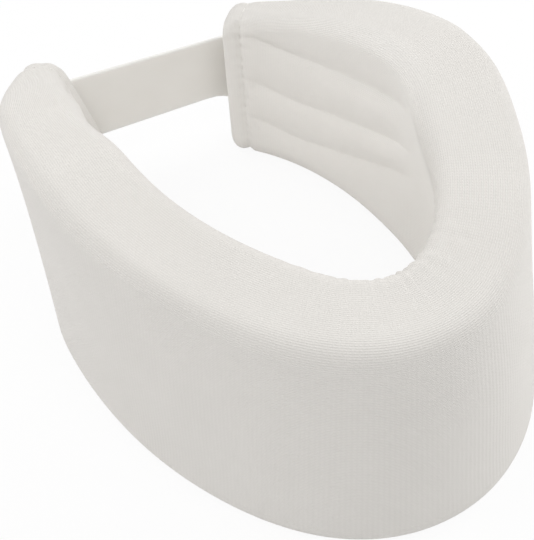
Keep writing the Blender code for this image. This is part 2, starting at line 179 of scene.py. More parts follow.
# Closing tape and what it meets
tape = {
    "width": 0.025,
    "thick": 0.0012,
    "level": 0.0303,                # height of its middle
    "leftBend": 0.006,              # radius round each end of the slab
    "rightBend": 0.018,
    "tail": 0.036,                  # sewn down on the left arm
    "hingeFromEnd": 0.0045,
    "tab": 0.064,                   # lies on the right arm
    "tabRound": 0.008,
    "seatGap": 0.0004,
}
pad = {"fromEnd": 0.015, "length": 0.054, "width": 0.025, "thick": 0.0012}
hooks = {"length": 0.038, "width": 0.019, "thick": 0.0012, "tipMargin": 0.007}
stack = pad["thick"] + hooks["thick"] + 2.0 * tape["seatGap"]      # between the right arm and the tape
hooksFromEnd = tape["tab"] + tape["tabRound"] - hooks["tipMargin"] - hooks["length"]

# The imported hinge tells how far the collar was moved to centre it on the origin
hingeS = -(slab["halfLength"] - tape["hingeFromEnd"])
hingeOut = thicknessAt(-hingeS) / 2.0 + tape["seatGap"] + tape["thick"]
collarShift = np.array(frame["joints"][0]["pos_m"]) - rawPlace(hingeS, hingeOut, tape["level"])
collarShift[2] = 0.0


def place(s, out, z):
    # World point at s along the slab, out from its middle line and z up
    return rawPlace(s, out, z) + collarShift


def facePoint(s, z, above):
    # Point above the outer face of the arms
    s = np.asarray(s, float)
    return place(s, thicknessAt(np.abs(s)) / 2.0 + above, z)


def gridMesh(name, points, mapU, mapV, wrapAlong=False, capEnds=False):
    # Four-sided faces over a grid closed across, with a cloth map at the corners; turned if facing inwards
    n, m = points.shape[:2]
    rows, columns = np.meshgrid(np.arange(n if wrapAlong else n - 1), np.arange(m), indexing="ij")
    cornerRows = np.stack([rows, rows + 1, rows + 1, rows], axis=-1).reshape(-1, 4)
    cornerColumns = np.stack([columns, columns, columns + 1, columns + 1], axis=-1).reshape(-1, 4)
    quads = (cornerRows % n) * m + cornerColumns % m
    mapPoints = np.stack([mapU[cornerRows, cornerColumns], mapV[cornerRows, cornerColumns]], axis=-1)
    flat = points.reshape(-1, 3)
    a, b, c, d = (flat[quads[:, k]] for k in range(4))
    volume = np.sum(np.cross(a, b) * c) + np.sum(np.cross(a, c) * d)
    caps = []
    if capEnds:
        caps = [np.arange(m)[::-1], (n - 1) * m + np.arange(m)]
    if volume < 0.0:
        quads = quads[:, ::-1]
        mapPoints = mapPoints[:, ::-1]
        caps = [cap[::-1] for cap in caps]
    loops = np.concatenate([quads.ravel()] + caps)
    sizes = np.concatenate([np.full(len(quads), 4), np.full(len(caps), m)])
    corners = np.concatenate([mapPoints.reshape(-1, 2), np.zeros((len(caps) * m, 2))])
    return putMesh(name, flat, loops, sizes, corners)


def putMesh(name, flat, loops, sizes, corners):
    # Points, corner lists and cloth map into a smooth mesh object at the origin
    starts = np.concatenate([[0], np.cumsum(sizes)[:-1]])
    mesh = bpy.data.meshes.new(name)
    mesh.vertices.add(len(flat))
    mesh.vertices.foreach_set("co", flat.astype(np.float32).ravel())
    mesh.loops.add(len(loops))
    mesh.loops.foreach_set("vertex_index", loops.astype(np.int32))
    mesh.polygons.add(len(starts))
    mesh.polygons.foreach_set("loop_start", starts.astype(np.int32))
    mesh.polygons.foreach_set("loop_total", sizes.astype(np.int32))
    mesh.update(calc_edges=True)
    mesh.validate()
    clothMap = mesh.uv_layers.new(name="clothMap")
    clothMap.data.foreach_set("uv", corners.astype(np.float32).ravel())
    mesh.polygons.foreach_set("use_smooth", np.ones(len(starts), bool))
    piece = bpy.data.objects.new(name, mesh)
    bpy.context.scene.collection.objects.link(piece)
    return piece


def tubesAlong(spine, first, second, radius, sides):
    # Rings round many spines: the radius times the cosine and sine of the turn, along two directions across
    turn = 2.0 * np.pi * np.arange(sides)[:, None] / sides
    return spine[:, :, None] + radius * (first[:, :, None] * np.cos(turn) + second[:, :, None] * np.sin(turn))


def manyMesh(name, points):
    # One mesh of many small tubes: points is (tube, ring, side, xyz); the ends are closed
    count, rings, sides = points.shape[:3]
    rows, columns = np.meshgrid(np.arange(rings - 1), np.arange(sides), indexing="ij")
    one = np.stack([rows * sides + columns, rows * sides + (columns + 1) % sides,
                    (rows + 1) * sides + (columns + 1) % sides, (rows + 1) * sides + columns], axis=-1)
    one = one.reshape(-1, 4)
    caps = np.stack([np.arange(sides)[::-1], (rings - 1) * sides + np.arange(sides)])
    first = (np.arange(count) * rings * sides)[:, None, None]
    quads = (one[None] + first).reshape(-1, 4)
    ends = (caps[None] + first).reshape(-1, sides)
    flat = points.reshape(-1, 3)
    a, b, c, d = (flat[quads[:, k]] for k in range(4))
    centre = np.repeat(points.mean(axis=(1, 2)), len(one), axis=0)
    facing = np.cross(c - a, d - b)
    if np.sum(facing * ((a + c) / 2.0 - centre)) < 0.0:
        quads = quads[:, ::-1]
        ends = ends[:, ::-1]
    loops = np.concatenate([quads.ravel(), ends.ravel()])
    sizes = np.concatenate([np.full(len(quads), 4), np.full(len(ends), sides)])
    ring = np.tile(np.repeat(np.arange(rings) / (rings - 1.0), sides), count)
    turn = np.tile(np.arange(sides) / sides, count * rings)
    corners = np.stack([ring[loops], turn[loops]], axis=-1)
    return putMesh(name, flat, loops, sizes, corners)


def gridNormals(points):
    # Outward direction of a grid that is closed across: the cross product of its two steps
    along = np.gradient(points, axis=0)
    across = np.roll(points, -1, axis=1) - np.roll(points, 1, axis=1)
    normal = np.cross(across, along)
    return normal / np.maximum(np.linalg.norm(normal, axis=-1, keepdims=True), 1e-12)


# Materials

def newMaterial(name, look):
    # Plain material with the light colour and the roughness of a look
    material = bpy.data.materials.new(name)
    material.use_nodes = True
    shader = material.node_tree.nodes["Principled BSDF"]
    shader.inputs["Base Color"].default_value = (*look["light"], 1.0)
    shader.inputs["Roughness"].default_value = look["roughness"]
    return material, material.node_tree, shader


def wire(tree, source, socket):
    # A socket is linked, a number is set
    if isinstance(source, bpy.types.NodeSocket):
        tree.links.new(source, socket)
    else:
        socket.default_value = source


def calc(tree, operation, first, second=0.0, third=0.0):
    # One math node; only MULTIPLY_ADD uses the third value
    node = tree.nodes.new("ShaderNodeMath")
    node.operation = operation
    for source, socket in zip((first, second, third), node.inputs):
        wire(tree, source, socket)
    return node.outputs[0]


def clothAxes(tree):
    # Along and across the piece: metres on cloth, shares of the length and of the turn on thread
    source = tree.nodes.new("ShaderNodeUVMap")
    source.uv_map = "clothMap"
    split = tree.nodes.new("ShaderNodeSeparateXYZ")
    tree.links.new(source.outputs["UV"], split.inputs[0])
    return split.outputs["X"], split.outputs["Y"]


def grain(tree, scale, detail=2.0):
    # Even noise in the object's own space
    place3d = tree.nodes.new("ShaderNodeTexCoord")
    noise = tree.nodes.new("ShaderNodeTexNoise")
    noise.inputs["Scale"].default_value = scale
    noise.inputs["Detail"].default_value = detail
    tree.links.new(place3d.outputs["Object"], noise.inputs["Vector"])
    return noise.outputs["Fac"]


def twoTone(tree, factor, dark, light):
    # Colour that goes from dark to light as the factor goes from 0 to 1
    mix = tree.nodes.new("ShaderNodeMix")
    mix.data_type = "RGBA"
    wire(tree, factor, mix.inputs["Factor"])
    wire(tree, dark if isinstance(dark, bpy.types.NodeSocket) else (*dark, 1.0), mix.inputs["A"])
    wire(tree, light if isinstance(light, bpy.types.NodeSocket) else (*light, 1.0), mix.inputs["B"])
    return mix.outputs["Result"]


def paint(tree, shader, factor, look):
    # Base colour between the two tones of a look
    tree.links.new(twoTone(tree, factor, look["dark"], look["light"]), shader.inputs["Base Color"])


def smoothRise(tree, value, first, last):
    # 0 up to first, 1 from last on, a smooth step between them
    node = tree.nodes.new("ShaderNodeMapRange")
    node.interpolation_type = "SMOOTHSTEP"
    tree.links.new(value, node.inputs["Value"])
    node.inputs["From Min"].default_value = first
    node.inputs["From Max"].default_value = last
    return node.outputs["Result"]


def relief(tree, shader, height, look):
    # Bump with the depth and strength of a look
    bump = tree.nodes.new("ShaderNodeBump")
    bump.inputs["Distance"].default_value = look["depth"]
    bump.inputs["Strength"].default_value = look["strength"]
    tree.links.new(height, bump.inputs["Height"])
    tree.links.new(bump.outputs["Normal"], shader.inputs["Normal"])


jersey = {
    "light": (0.805, 0.781, 0.745),         # top and outside
    "dark": (0.630, 0.607, 0.573),
    "neckPaintedLight": (0.975, 0.954, 0.920),     # painted light: the neck side gets a lighter copy of the knit colour
    "neckPaintedDark": (0.82, 0.800, 0.767),
    "neckFrom": (0.475, 0.545),             # shares of the way round where the painted light of the neck side starts and stops
    "neckTo": (0.82, 0.89),
    "neckEarly": 0.045,                     # the painted light starts this much sooner on the right arm
    "neckEarlyFrom": (0.060, 0.120),
    "neckLeft": (-0.22, 0.08),              # and it fades along the collar into the left end
    "girth": 0.196,                         # way round the sleeve on its cloth map
    "wale": 0.00125,                        # width of a column of stitches
    "course": 0.00105,                      # length of a stitch
    "slant": 0.5,
    "stitchMean": 0.75,                     # height along a column, and its rise and fall
    "stitchWave": 0.25,
    "toneLow": 0.54,                        # painted shade between the yarns, and what the yarn adds
    "toneGain": 0.35,
    "mottleScale": 55.0,
    "mottleShare": 0.22,
    "fuzzScale": 1400.0,
    "fuzzShare": 0.5,
    "detail": 3.0,                          # of both noises
    "depth": 0.0003,
    "strength": 0.45,
    "roughness": 0.95,
    "sheen": 0.08,
}


def jerseyKnit():
    # Two legs to a column, |sin|, cut into slanted stitches along it by a cosine; fine noise for the fuzz
    material, tree, shader = newMaterial("offWhiteJersey", jersey)
    along, across = clothAxes(tree)
    column = calc(tree, "MULTIPLY", across, 1.0 / jersey["wale"])
    row = calc(tree, "MULTIPLY", along, 1.0 / jersey["course"])
    legs = calc(tree, "ABSOLUTE", calc(tree, "SINE", calc(tree, "MULTIPLY", column, 2.0 * math.pi)))
    slant = calc(tree, "MULTIPLY", calc(tree, "PINGPONG", column, 0.5), 2.0 * jersey["slant"])
    phase = calc(tree, "MULTIPLY", calc(tree, "ADD", row, slant), 2.0 * math.pi)
    wave = calc(tree, "COSINE", phase)
    yarn = calc(tree, "MULTIPLY", legs,
                calc(tree, "MULTIPLY_ADD", wave, jersey["stitchWave"], jersey["stitchMean"]))
    fuzz = grain(tree, jersey["fuzzScale"], jersey["detail"])
    height = calc(tree, "ADD", yarn, calc(tree, "MULTIPLY", fuzz, jersey["fuzzShare"]))
    # Painted shade: the tone is darkest between the yarns, where the gaps lie in shade
    shade = calc(tree, "MULTIPLY_ADD", yarn, jersey["toneGain"], jersey["toneLow"])
    mottle = grain(tree, jersey["mottleScale"], jersey["detail"])
    tone = calc(tree, "ADD", shade, calc(tree, "MULTIPLY", mottle, jersey["mottleShare"]))
    # Painted light: a mask of the neck side, sooner on the right arm and fading into the left end, mixes in
    # the lighter copy of the knit colour
    turn = calc(tree, "MULTIPLY", across, 1.0 / jersey["girth"])
    early = calc(tree, "MULTIPLY", smoothRise(tree, along, *jersey["neckEarlyFrom"]), jersey["neckEarly"])
    starts = smoothRise(tree, calc(tree, "ADD", turn, early), *jersey["neckFrom"])
    neck = calc(tree, "SUBTRACT", starts, smoothRise(tree, turn, *jersey["neckTo"]))
    neck = calc(tree, "MULTIPLY", neck, smoothRise(tree, along, *jersey["neckLeft"]))
    outside = twoTone(tree, tone, jersey["dark"], jersey["light"])
    paintedLightTone = twoTone(tree, tone, jersey["neckPaintedDark"], jersey["neckPaintedLight"])
    tree.links.new(twoTone(tree, neck, outside, paintedLightTone), shader.inputs["Base Color"])
    shader.inputs["Sheen Weight"].default_value = jersey["sheen"]
    relief(tree, shader, height, jersey)
    return material


tapeCloth = {
    "light": (0.865, 0.848, 0.818),
    "dark": (0.81, 0.793, 0.763),
    "warp": 0.0007,
    "weft": 0.0005,
    "weaveShare": 0.4,              # parts of the weave and of a mottle in the tone
    "mottleShare": 0.7,
    "mottleScale": 90.0,
    "depth": 0.00012,
    "strength": 0.4,
    "roughness": 0.8,
    "through": 1.0,                 # share of the light that goes into the thin cloth, and how deep
    "throughDepth": 0.0018,
}


def wovenTape():
    # Warp ribs across the width crossed by finer weft, each a sine; their product is the weave
    material, tree, shader = newMaterial("offWhiteTape", tapeCloth)
    along, across = clothAxes(tree)
    warp = calc(tree, "SINE", calc(tree, "MULTIPLY", across, 2.0 * math.pi / tapeCloth["warp"]))
    weft = calc(tree, "SINE", calc(tree, "MULTIPLY", along, 2.0 * math.pi / tapeCloth["weft"]))
    weave = calc(tree, "MULTIPLY_ADD", calc(tree, "MULTIPLY", warp, weft), 0.5, 0.5)
    mottle = calc(tree, "MULTIPLY", grain(tree, tapeCloth["mottleScale"]), tapeCloth["mottleShare"])
    tone = calc(tree, "ADD", calc(tree, "MULTIPLY", weave, tapeCloth["weaveShare"]), mottle)
    paint(tree, shader, tone, tapeCloth)
    shader.inputs["Subsurface Weight"].default_value = tapeCloth["through"]
    shader.inputs["Subsurface Radius"].default_value = (1.0, 1.0, 1.0)
    shader.inputs["Subsurface Scale"].default_value = tapeCloth["throughDepth"]
    relief(tree, shader, weave, tapeCloth)
    return material


foamLook = {"light": (0.80, 0.74, 0.60), "dark": (0.62, 0.55, 0.42), "cells": 900.0, "depth": 0.0004,
            "strength": 0.7, "roughness": 0.95}


def openFoam():
    # Pores are the cells of a Voronoi pattern, deeper at their middles and painted darker there as shade
    material, tree, shader = newMaterial("creamFoam", foamLook)
    place3d = tree.nodes.new("ShaderNodeTexCoord")
    cells = tree.nodes.new("ShaderNodeTexVoronoi")
    cells.inputs["Scale"].default_value = foamLook["cells"]
    tree.links.new(place3d.outputs["Object"], cells.inputs["Vector"])
    pore = cells.outputs["Distance"]
    paint(tree, shader, pore, foamLook)
    relief(tree, shader, pore, foamLook)
    return material


pileLook = {"light": (0.80, 0.79, 0.76), "dark": (0.66, 0.65, 0.62), "fuzzScale": 2600.0, "detail": 3.0,
            "depth": 0.0002, "strength": 0.6, "roughness": 0.9, "sheen": 0.2}


def loopPile():
    # Brushed yarn: fine noise in tone and relief
    material, tree, shader = newMaterial("whiteLoops", pileLook)
    fuzz = grain(tree, pileLook["fuzzScale"], pileLook["detail"])
    paint(tree, shader, fuzz, pileLook)
    shader.inputs["Sheen Weight"].default_value = pileLook["sheen"]
    relief(tree, shader, fuzz, pileLook)
    return material


hookLook = {"light": (0.77, 0.76, 0.73), "dark": (0.66, 0.65, 0.62), "streakScale": 700.0, "depth": 0.00008,
            "strength": 0.3, "roughness": 0.42}


def nylonHooks():
    # Drawn nylon: faint streaks and a low gloss
    material, tree, shader = newMaterial("whiteHooks", hookLook)
    streak = grain(tree, hookLook["streakScale"])
    paint(tree, shader, streak, hookLook)
    relief(tree, shader, streak, hookLook)
    return material


threadLook = {"light": (0.97, 0.947, 0.910), "dark": (0.86, 0.838, 0.802), "twists": 6.0, "toneMean": 0.6,
              "toneWave": 0.4, "depth": 0.00008, "strength": 0.5, "roughness": 0.7}


def spunThread():
    # Two plies: a sine of the turn round the thread plus the way along it
    material, tree, shader = newMaterial("offWhiteThread", threadLook)
    along, turn = clothAxes(tree)
    phase = calc(tree, "ADD", calc(tree, "MULTIPLY", along, threadLook["twists"]), turn)
    ply = calc(tree, "SINE", calc(tree, "MULTIPLY", phase, 4.0 * math.pi))
    tone = calc(tree, "MULTIPLY_ADD", ply, threadLook["toneWave"], threadLook["toneMean"])
    paint(tree, shader, tone, threadLook)
    relief(tree, shader, ply, threadLook)
    return material


knitMaterial = jerseyKnit()
tapeMaterial = wovenTape()
foamMaterial = openFoam()
loopMaterial = loopPile()
hookMaterial = nylonHooks()
threadMaterial = spunThread()
print("materials made")


# Knitted sleeve

sleeve = {
    "innerTopRadius": 0.0050,
    "armTopRadius": 0.0065,         # the same edge along the arm
    "armTopFrom": 0.035,            # this far from the chin it starts to grow, over the next length
    "armTopRise": 0.035,
    "armTopTo": 0.125,              # and here it starts to shrink again
    "armTopFade": 0.045,
    "outerTopRadius": 0.0050,
    "lowerRadius": 0.0055,
    "widestRound": 0.9,             # most of half the thickness that an edge may take
    "leastRound": 0.1,
    "topFall": 0.0007,              # the outer top edge lies lower than the inner one
    "seamFromEnd": 0.0073,
    "seamWidth": 0.0014,
    "seamDepth": 0.0007,
    "seamTop": 0.2,                 # share of that depth over the top
    "endRound": 0.0030,
    "cornerRound": 0.0050,          # of the upper and lower corners of the end
    "slitWidth": 0.0006,
    "slitMargin": 0.008,
    "tuck": 0.0010,                 # the turned-in edges lie this deep at the slit
    "knit": 0.0012,
    "foldLevels": (0.0523, 0.0320, 0.0152),
    "foldClimbs": (0.0173, 0.0229, 0.0295),
    "foldTurn": 0.028,              # lowest place of each fold, from the end
    "foldPower": 1.5,
    "foldLength": 0.103,
    "foldFade": 0.026,
    "foldDepth": 0.0014,
    "foldTopMargin": 0.0015,
    "foldRoom": 0.006,              # the first fold is full this far below the edge
    "foldLeast": 0.2,               # share of its depth at the edge
    "bandCrown": 0.0006,
    "creaseSharp": 3.0,
    "outerCrown": 0.0007,
    "crownRise": 0.03,
    "tapeKeep": 0.080,              # flat under the tape, this far from each end
    "wrinkleAtEdge": 0.35,          # share of the wrinkles where the top meets its inner edge
    "puckerWander": ((0.0011, 0.0093, 0.7), (0.0007, 0.0041, 0.0)),     # amount, length, phase
    "puckerWaves": ((0.0047, 0.0), (0.0071, 1.3)),                      # pitch, phase
    "puckerShare": 0.6,
    "puckerRise": 0.00035,
    "puckerReach": 0.066,
    "gatherPitch": 0.0061,
    "gatherRise": 0.00010,
    "gatherReach": 0.005,
    "sway": 0.0003,                 # slow unevenness of the padding
    "swayLengths": (0.0113, 0.0237),
    "swayPhases": (0.6, -1.1),
    "swayTurns": 3.0,               # waves round the sleeve, and their phase
    "swayTurnPhase": 0.9,
    "swayFree": 0.04,               # it grows over this length beyond the tape
    "swayFloor": 0.002,             # and from this height up, over this climb
    "swayClimb": 0.012,
    "hemRise": 0.0024,              # the right hem is rolled higher than the left one
    "hemReach": 0.022,
    "hemFloor": 0.03,               # from this height up, over this climb
    "hemClimb": 0.022,
    "liningGap": 0.0004,
    "bulgePower": 1.6,              # how the bulges below grow from the lower edge to the top
    "bulgeOver": 0.004,             # they start this far beyond the middle line and are full after the blend
    "bulgeBlend": 0.014,
    "bulges": (                     # place from the chin, reach, amount, outer (1) or neck side (-1);
                                    # a negative amount draws the edge in
        (-0.028, 0.052, 0.0040, 1),
        (0.014, 0.015, 0.0015, 1),
        (-0.160, 0.015, 0.0011, 1),
        (0.096, 0.014, 0.0010, 1),
        (-0.105, 0.030, 0.0005, -1),
        (0.076, 0.026, 0.0036, -1),
        (-0.157, 0.015, 0.0040, -1),
        (-0.191, 0.009, -0.0030, -1),
    ),
}
sleeveCounts = {"outerFace": 52, "outerTop": 10, "top": 12, "innerTop": 14, "bands": (8, 24, 24, 24),
                "innerLow": 8, "bottom": 10, "outerLow": 8}
sleeveSteps = {"nearEnd": 0.015, "fine": 0.0005, "coarse": 0.0011, "lining": 5, "endRings": 5}


def foldLevelsAt(fromEnd):
    # Each fold climbs with a power of the distance from its lowest place; strength fades out and in
    reach = np.abs(fromEnd - sleeve["foldTurn"]) / (sleeve["foldLength"] - sleeve["foldTurn"])
    climb = np.minimum(reach, 1.0) ** sleeve["foldPower"]
    levels = [low + rise * climb for low, rise in zip(sleeve["foldLevels"], sleeve["foldClimbs"])]
    fadeOut = 1.0 - ease((fromEnd - sleeve["foldLength"] + sleeve["foldFade"]) / sleeve["foldFade"])
    fadeIn = ease((fromEnd - sleeve["seamFromEnd"]) / sleeve["seamFromEnd"])
    return levels, fadeOut * fadeIn


def between(first, last, count):
    # Evenly spaced columns between two columns, without them
    share = (np.arange(count) + 1.0) / (count + 1.0)
    return first + (last - first) * share, share


def sleeveSection(fromEnd, inset):
    # Outline across the slab as out and z, one row for each distance from the end. It goes up the outer
    # face, over the top on two arcs, down the neck face band by band and back along the bottom
    e = np.asarray(fromEnd, float)[:, None]
    a = slab["halfLength"] - e
    seam = sleeve["seamDepth"] * np.exp(-((e - sleeve["seamFromEnd"]) / sleeve["seamWidth"]) ** 2)

    def rounded(radius):
        # How far a quarter circle at the end draws the outline in
        return radius - np.sqrt(radius ** 2 - np.maximum(radius - e, 0.0) ** 2)

    half = thicknessAt(a) / 2.0 - seam - rounded(sleeve["endRound"]) - inset
    top = topHeight(a) - sleeve["seamTop"] * seam - rounded(sleeve["cornerRound"]) - inset
    low = seam + rounded(sleeve["cornerRound"]) + inset

    def corner(outSign, upSign, radius, start, count):
        # Quarter circle at one edge, from the start angle on
        r = np.minimum(radius, sleeve["widestRound"] * (half + inset)) - inset
        r = np.maximum(r, sleeve["leastRound"] * half)
        angle = np.radians(start + np.linspace(0.0, 90.0, count))[None, :]
        out = outSign * (half - r) + r * np.cos(angle)
        z = (top - r if upSign > 0 else low + r) + r * np.sin(angle)
        if upSign > 0:
            z = z - sleeve["topFall"] * (out / half + 1.0) / 2.0
        return out, z

    outerTop = corner(1, 1, sleeve["outerTopRadius"], 0.0, sleeveCounts["outerTop"])
    alongArm = ease((a - sleeve["armTopFrom"]) / sleeve["armTopRise"])
    alongArm = alongArm * (1.0 - ease((a - sleeve["armTopTo"]) / sleeve["armTopFade"]))
    innerRadius = sleeve["innerTopRadius"] + (sleeve["armTopRadius"] - sleeve["innerTopRadius"]) * alongArm
    innerTop = corner(-1, 1, innerRadius, 90.0, sleeveCounts["innerTop"])
    innerLow = corner(-1, -1, sleeve["lowerRadius"], 180.0, sleeveCounts["innerLow"])
    outerLow = corner(1, -1, sleeve["lowerRadius"], 270.0, sleeveCounts["outerLow"])

    def straight(before, after, count):
        # Columns from the last one of an edge to the first one of the next
        out, share = between(before[0][:, -1:], after[0][:, :1], count)
        z, _ = between(before[1][:, -1:], after[1][:, :1], count)
        return out, z, share

    outerOut, outerZ, up = straight(outerLow, outerTop, sleeveCounts["outerFace"])
    crown = sleeve["outerCrown"] * np.sin(np.pi * up) * ease((e - sleeve["tapeKeep"]) / sleeve["crownRise"])
    outerOut = outerOut + crown
    topOut, topZ, _ = straight(outerTop, innerTop, sleeveCounts["top"])
    bottomOut, bottomZ, _ = straight(innerLow, outerLow, sleeveCounts["bottom"])

    levels, strength = foldLevelsAt(e)
    faceTop = innerTop[1][:, -1:]
    faceLow = innerLow[1][:, :1]
    highest = np.minimum(levels[0], faceTop - sleeve["foldTopMargin"])
    stops = [faceTop, highest, levels[1], levels[2], faceLow]
    depths = [sleeve["foldDepth"] * strength] * 3
    room = ease((faceTop - levels[0]) / sleeve["foldRoom"])
    depths[0] = depths[0] * (sleeve["foldLeast"] + (1.0 - sleeve["foldLeast"]) * room)
    neckOut = []
    neckZ = []
    for k, count in enumerate(sleeveCounts["bands"]):
        skip = 1.0 if k == 0 else 0.0       # the edge's arc already has the first column
        f = (np.arange(count) + skip) / (count + skip)
        above = depths[k - 1] * (1.0 - f) ** sleeve["creaseSharp"] if k > 0 else 0.0
        below = depths[k] * f ** sleeve["creaseSharp"] if k < 3 else 0.0
        swell = sleeve["bandCrown"] * np.sin(np.pi * f) * (k > 0)
        neckZ.append(stops[k] + (stops[k + 1] - stops[k]) * f)
        neckOut.append(-half + above + below - strength * swell)
    out = np.concatenate([outerOut, outerTop[0], topOut, innerTop[0]] + neckOut
                         + [innerLow[0], bottomOut, outerLow[0]], axis=1)
    z = np.concatenate([outerZ, outerTop[1], topZ, innerTop[1]] + neckZ
                       + [innerLow[1], bottomZ, outerLow[1]], axis=1)
    return out, z


def neckSide():
    # Weight of each column for wrinkles: rises over the inner top edge, full down the neck face
    before = np.zeros(sleeveCounts["outerFace"] + sleeveCounts["outerTop"])
    overTop = np.linspace(0.0, sleeve["wrinkleAtEdge"], sleeveCounts["top"])
    overEdge = np.linspace(sleeve["wrinkleAtEdge"], 1.0, sleeveCounts["innerTop"])
    neck = np.ones(sum(sleeveCounts["bands"]))
    after = np.linspace(1.0, 0.0, sleeveCounts["innerLow"])
    rest = np.zeros(sleeveCounts["bottom"] + sleeveCounts["outerLow"])
    return np.concatenate([before, overTop, overEdge, neck, after, rest])


def endDistances():
    # Fine near the sewn end, coarser along the arm, the chin last
    near = np.arange(0.0, sleeveSteps["nearEnd"], sleeveSteps["fine"])
    count = round((slab["halfLength"] - sleeveSteps["nearEnd"]) / sleeveSteps["coarse"])
    return np.concatenate([near, np.linspace(sleeveSteps["nearEnd"], slab["halfLength"], count)])


def slitOutline(out, z, share):
    # The end outline drawn towards a flat slit as share goes from 0 to 1
    half = np.abs(out).max()
    middle = (z.max() + z.min()) / 2.0
    squeeze = (z.max() - z.min() - 2.0 * sleeve["slitMargin"]) / (z.max() - z.min())
    flatOut = out / half * sleeve["slitWidth"] / 2.0
    flatZ = middle + (z - middle) * squeeze
    return out + (flatOut - out) * share, z + (flatZ - z) * share


def clothPlace(s, out, z):
    # Place on the sleeve: bell-shaped bulges move its upper edges, and the top of the right hem is lifted
    s, out, z = np.broadcast_arrays(np.asarray(s, float), out, z)
    rise = np.clip(z / topHeight(np.abs(s)), 0.0, 1.0) ** sleeve["bulgePower"]
    moved = out
    for middle, reach, amount, side in sleeve["bulges"]:
        bell = amount * np.exp(-((s - middle) / reach) ** 2)
        moved = moved + side * bell * rise * ease((side * out + sleeve["bulgeOver"]) / sleeve["bulgeBlend"])
    near = (s > 0.0) * (1.0 - ease((slab["halfLength"] - s) / sleeve["hemReach"]))
    return place(s, moved, z + sleeve["hemRise"] * near * ease((z - sleeve["hemFloor"]) / sleeve["hemClimb"]))


def bothHalves(half):
    # Left end to chin to right end, from rows that run end to chin
    return np.concatenate([half, half[-2::-1]], axis=0)


def fromChin(e):
    # The same rows as distances from the chin, negative to the left
    a = slab["halfLength"] - e
    return np.concatenate([-a, a[-2::-1]])[:, None]


def knitSleeve():
    # Outlines carried along the bent slab, wrinkled along their normals, closed at the ends and lined inside
    e = endDistances()
    fromEnd = bothHalves(e)
    s = fromChin(e)
    out, z = sleeveSection(fromEnd, 0.0)
    skin = clothPlace(s, out, z)
    steps = np.linalg.norm(np.diff(np.concatenate([skin, skin[:, :1]], axis=1), axis=1), axis=-1)
    girth = np.concatenate([np.zeros((len(skin), 1)), np.cumsum(steps, axis=1)], axis=1)
    girth = girth / girth[:, -1:]

    # Wrinkles squeezed up by the chin bend, gathers beside the end seams, slow unevenness elsewhere
    a = np.abs(s)
    wander = s
    for amount, length, phase in sleeve["puckerWander"]:
        wander = wander + amount * np.sin(s / length + phase)
    pucker = sum(sleeve["puckerShare"] * np.sin(2.0 * np.pi * wander / pitch + phase)
                 for pitch, phase in sleeve["puckerWaves"])
    pucker = pucker * neckSide()[None, :] * sleeve["puckerRise"] * (1.0 - ease(a / sleeve["puckerReach"]))
    wayRound = girth[:, :-1] * jersey["girth"]
    beside = np.abs(fromEnd[:, None] - sleeve["seamFromEnd"]) / sleeve["gatherReach"]
    gather = np.sin(2.0 * np.pi * wayRound / sleeve["gatherPitch"])
    gather = gather * sleeve["gatherRise"] * np.exp(-beside ** 2)
    slow = [np.sin(s / length + phase) for length, phase in zip(sleeve["swayLengths"], sleeve["swayPhases"])]
    turns = np.sin(2.0 * np.pi * girth[:, :-1] * sleeve["swayTurns"] + sleeve["swayTurnPhase"])
    free = ease((fromEnd[:, None] - sleeve["tapeKeep"]) / sleeve["swayFree"])
    lifted = ease((z - sleeve["swayFloor"]) / sleeve["swayClimb"])
    sway = (slow[0] * turns + slow[1]) * sleeve["sway"] * free * lifted
    skin = skin + gridNormals(skin) * (pucker + gather + sway)[..., None]

    # End faces: the outline drawn in to the slit, and tucked in
    endOut, endZ = sleeveSection(np.zeros(1), 0.0)
    shares = (np.arange(sleeveSteps["endRings"]) + 1.0) / sleeveSteps["endRings"]
    faces = [slitOutline(endOut, endZ, share) for share in shares]
    faceOut = np.concatenate([face[0] for face in faces])
    faceZ = np.concatenate([face[1] for face in faces])
    depth = slab["halfLength"] - sleeve["tuck"] * shares[:, None] ** 2
    rightFace = clothPlace(depth, faceOut, faceZ)
    leftFace = clothPlace(-depth, faceOut, faceZ)[::-1]

    # Lining: the same outline a cloth's thickness inside, with fewer rings
    deep = sleeve["tuck"] + sleeve["knit"]
    liningE = e[e > 2.0 * deep][::sleeveSteps["lining"]]
    liningE = np.concatenate([[deep + sleeve["liningGap"]], liningE, e[-1:]])
    liningOut, liningZ = sleeveSection(bothHalves(liningE), sleeve["knit"])
    liningS = fromChin(liningE)
    lining = clothPlace(liningS, liningOut, liningZ)[::-1]
    innerSlit = slab["halfLength"] - deep
    rightSlit = clothPlace(innerSlit, faceOut[-1:], faceZ[-1:])
    leftSlit = clothPlace(-innerSlit, faceOut[-1:], faceZ[-1:])
    points = np.concatenate([leftFace, skin, rightFace, rightSlit, lining, leftSlit])

    ends = len(shares)
    alongMap = np.concatenate([np.full(ends, s[0, 0]), s[:, 0], np.full(ends + 1, s[-1, 0]),
                               liningS[::-1, 0], np.full(2, s[0, 0])])
    acrossMap = np.concatenate([np.repeat(girth[:1], ends, axis=0), girth,
                                np.repeat(girth[-1:], len(points) - ends - len(girth) + 1, axis=0)])
    mapU = np.repeat(alongMap[:, None], points.shape[1] + 1, axis=1)
    piece = gridMesh("knitSleeve", points, mapU, acrossMap * jersey["girth"], wrapAlong=True)
    piece.data.materials.append(knitMaterial)
    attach(piece, "collar")
    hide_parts("knit_cover")
    return piece


foam = {"inset": 0.0022, "endInset": 0.0045, "step": 0.0022, "columnStep": 2}


